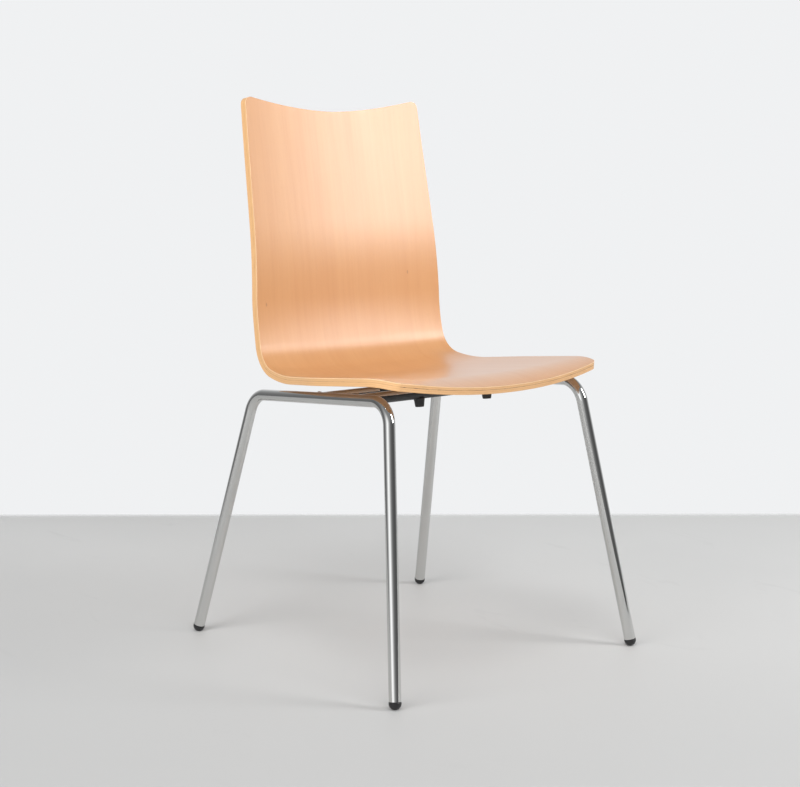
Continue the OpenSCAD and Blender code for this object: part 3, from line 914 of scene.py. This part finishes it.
# lengths in m; the floor carries painted shade, darker at the camera's end, and distances run along the
# camera's view
viewYaw = 39.715
stageLook = {
    "floor": (0.77, 0.77, 0.76), "floorPaintedShade": (0.52, 0.52, 0.515), "paintedShadeFade": (-0.8, 0.9),
    "floorSize": 5.0, "floorEnd": 0.95, "endFade": 0.02, "roundFade": (3.4, 5.0),
    "clouds": (1.3, 4, 0.55), "cloud": (0.4, 0.4, 0.4), "cloudiness": 0.05,
    "scuffs": ((9, 3, 1), 5, 0.65, 1.2), "scuff": (0.3, 0.3, 0.3), "scuffiness": 0.06,
    "scuffLimits": (0.62, 0.72),
    "roughness": 0.5, "shine": 0.2,
    "backdrop": (0.87, 0.88, 0.89),
    "ceiling": (0.30, 0.305, 0.31), "ceilingFade": (0.30, 0.75),
    "underfoot": (0.55, 0.55, 0.55), "underfootFade": (-0.75, -0.35),
}
awayFromCamera = (sinD(viewYaw), cosD(viewYaw), 0)
half = stageLook["floorSize"]
floorMesh = bpy.data.meshes.new("floor")
corners = [(-half, -half, 0), (half, -half, 0), (half, half, 0), (-half, half, 0)]
floorMesh.from_pydata(corners, [], [(0, 1, 2, 3)])
floor = addObject("floor", floorMesh)
floorMat, tree, shader = newMaterial("floorPaint")
coord = objectPlace(tree)
cloud = noiseTex(tree, coord, *stageLook["clouds"])
scuffs = drawnNoise(tree, coord, *stageLook["scuffs"])
toWall = vectorWith(tree, "DOT_PRODUCT", coord, awayFromCamera).outputs["Value"]
# painted shade: the floor's colour darkens from behind the chair towards the camera
outOfPaintedShade = remap(tree, toWall, *stageLook["paintedShadeFade"], 0, 1)
paint = mixColor(tree, outOfPaintedShade, stageLook["floorPaintedShade"], stageLook["floor"])
paint = mixColor(tree, remap(tree, cloud, *wide, 0, stageLook["cloudiness"]), paint, stageLook["cloud"])
scuffed = remap(tree, scuffs, *stageLook["scuffLimits"], 0, stageLook["scuffiness"])
paint = mixColor(tree, scuffed, paint, stageLook["scuff"])
link(tree, paint, shader.inputs["Base Color"])
shader.inputs["Roughness"].default_value = stageLook["roughness"]
shader.inputs["Specular IOR Level"].default_value = stageLook["shine"]
# the floor fades into the backdrop behind the chair, and further off on the other sides
far = addNode(tree, "ShaderNodeVectorMath", operation="LENGTH")
link(tree, coord, far.inputs[0])
floorEnd, endFade = stageLook["floorEnd"], stageLook["endFade"]
keep = remap(tree, toWall, floorEnd - endFade, floorEnd + endFade, 1, 0)
keep = times(tree, keep, remap(tree, far.outputs["Value"], *stageLook["roundFade"], 1, 0))
link(tree, keep, shader.inputs["Alpha"])
floorMesh.materials.append(floorMat)


def softbox(name, target, azimuth, elevation, distance, width, height, power):
    lamp = bpy.data.lights.new(name, "AREA")
    lamp.shape = "RECTANGLE"
    lamp.size = width
    lamp.size_y = height
    lamp.energy = power
    obj = addObject(name, lamp)
    out = Vector((sinD(azimuth) * cosD(elevation), -cosD(azimuth) * cosD(elevation), sinD(elevation)))
    obj.location = Vector(target) + out * distance
    obj.rotation_euler = out.to_track_quat("Z", "Y").to_euler()
    return obj


# what it is aimed at, azimuth, elevation, distance, width, height and power, and if it shows in reflections;
# azimuth 0 is straight in front of the chair, positive towards +X
lights = {
    "frontRightBox": ((0.05, 0.15, 0.70), 33, 22, 2.6, 0.75, 1.3, 30, True),
    "topBox": ((0, 0.0, 0.5), -50, 68, 2.4, 0.75, 0.75, 12, True),
    "frontFill": ((0, 0.0, 0.5), -15, 20, 3.2, 2.2, 2.2, 48, False),
    "sideFill": ((0, 0.0, 0.5), -85, 20, 3.2, 2.2, 2.2, 52, False),
}
for name, (*settings, reflected) in lights.items():
    light = softbox(name, *settings)
    if not reflected:
        light.visible_glossy = False

world = bpy.data.worlds.new("studio")
bpy.context.scene.world = world
world.use_nodes = True
tree = world.node_tree
tree.nodes.clear()
out = tree.nodes.new("ShaderNodeOutputWorld")
surround = tree.nodes.new("ShaderNodeBackground")
link(tree, surround.outputs[0], out.inputs[0])
direction = addNode(tree, "ShaderNodeTexCoord").outputs["Generated"]


def dotWith(vector):
    return vectorWith(tree, "DOT_PRODUCT", direction, vector).outputs["Value"]


# brightness of the studio walls by bearing: 0 degrees is on the camera's side, positive to its right
studioWalls = [(-180, 1.0), (-160, 1.0), (-146, 0.75), (-118, 0.30), (-99, 0.18), (-84, 0.22), (-67, 0.58),
               (-52, 1.15), (-39, 1.70), (-29, 1.65), (-17, 1.15), (-5, 0.68), (8, 0.40), (20, 0.25),
               (40, 0.16), (70, 0.12), (84, 0.13), (98, 0.30), (116, 0.58), (138, 0.90), (160, 1.0), (180, 1.0)]
toFront = dotWith(tuple(-part for part in awayFromCamera))
toRight = dotWith((cosD(viewYaw), -sinD(viewYaw), 0))
bearing = mathNode(tree, "ARCTAN2", toRight, toFront)
bearing = mathNode(tree, "MULTIPLY_ADD", bearing, 0.5 / math.pi, 0.5)
ramp = addNode(tree, "ShaderNodeValToRGB")
stops = ramp.color_ramp.elements
for i, (angle, shade) in enumerate(studioWalls):
    place = (angle + 180) / 360
    # a ramp starts with a stop at each end, and the others go between them
    if i == 0:
        stop = stops[0]
    elif i == len(studioWalls) - 1:
        stop = stops[len(stops) - 1]
    else:
        stop = stops.new(place)
    stop.position = place
    stop.color = (*[c * shade for c in stageLook["backdrop"]], 1)
link(tree, bearing, ramp.inputs[0])
up = dotWith((0, 0, 1))
above = remap(tree, up, *stageLook["ceilingFade"], 0, 1)
below = remap(tree, up, *stageLook["underfootFade"], 1, 0)
surroundColor = mixColor(tree, above, ramp.outputs[0], stageLook["ceiling"])
surroundColor = mixColor(tree, below, surroundColor, stageLook["underfoot"])
link(tree, surroundColor, surround.inputs["Color"])
surround.inputs["Strength"].default_value = 1.0
print("stage and lights ready")


cameraLook = {
    "place": (-1.6573, -1.97031, 0.758354), "yaw": viewYaw, "pitch": 7.884, "roll": -0.07, "lens": 73.37,
    "sensorWidth": 36, "clipEnd": 60,
}
lens = bpy.data.cameras.new("camera")
lens.lens = cameraLook["lens"]
lens.sensor_width = cameraLook["sensorWidth"]
lens.sensor_fit = "HORIZONTAL"
lens.clip_end = cameraLook["clipEnd"]
camera = addObject("camera", lens)
camera.location = cameraLook["place"]
yaw, pitch = cameraLook["yaw"], cameraLook["pitch"]
aim = Vector((sinD(yaw) * cosD(pitch), cosD(yaw) * cosD(pitch), -sinD(pitch)))
level = aim.to_track_quat("-Z", "Y").to_matrix().to_4x4()
camera.rotation_euler = (level @ turnAbout("Z", cameraLook["roll"])).to_euler()
bpy.context.scene.camera = camera
bpy.context.scene.view_settings.view_transform = "Standard"
print("camera placed")

bpy.context.view_layer.update()
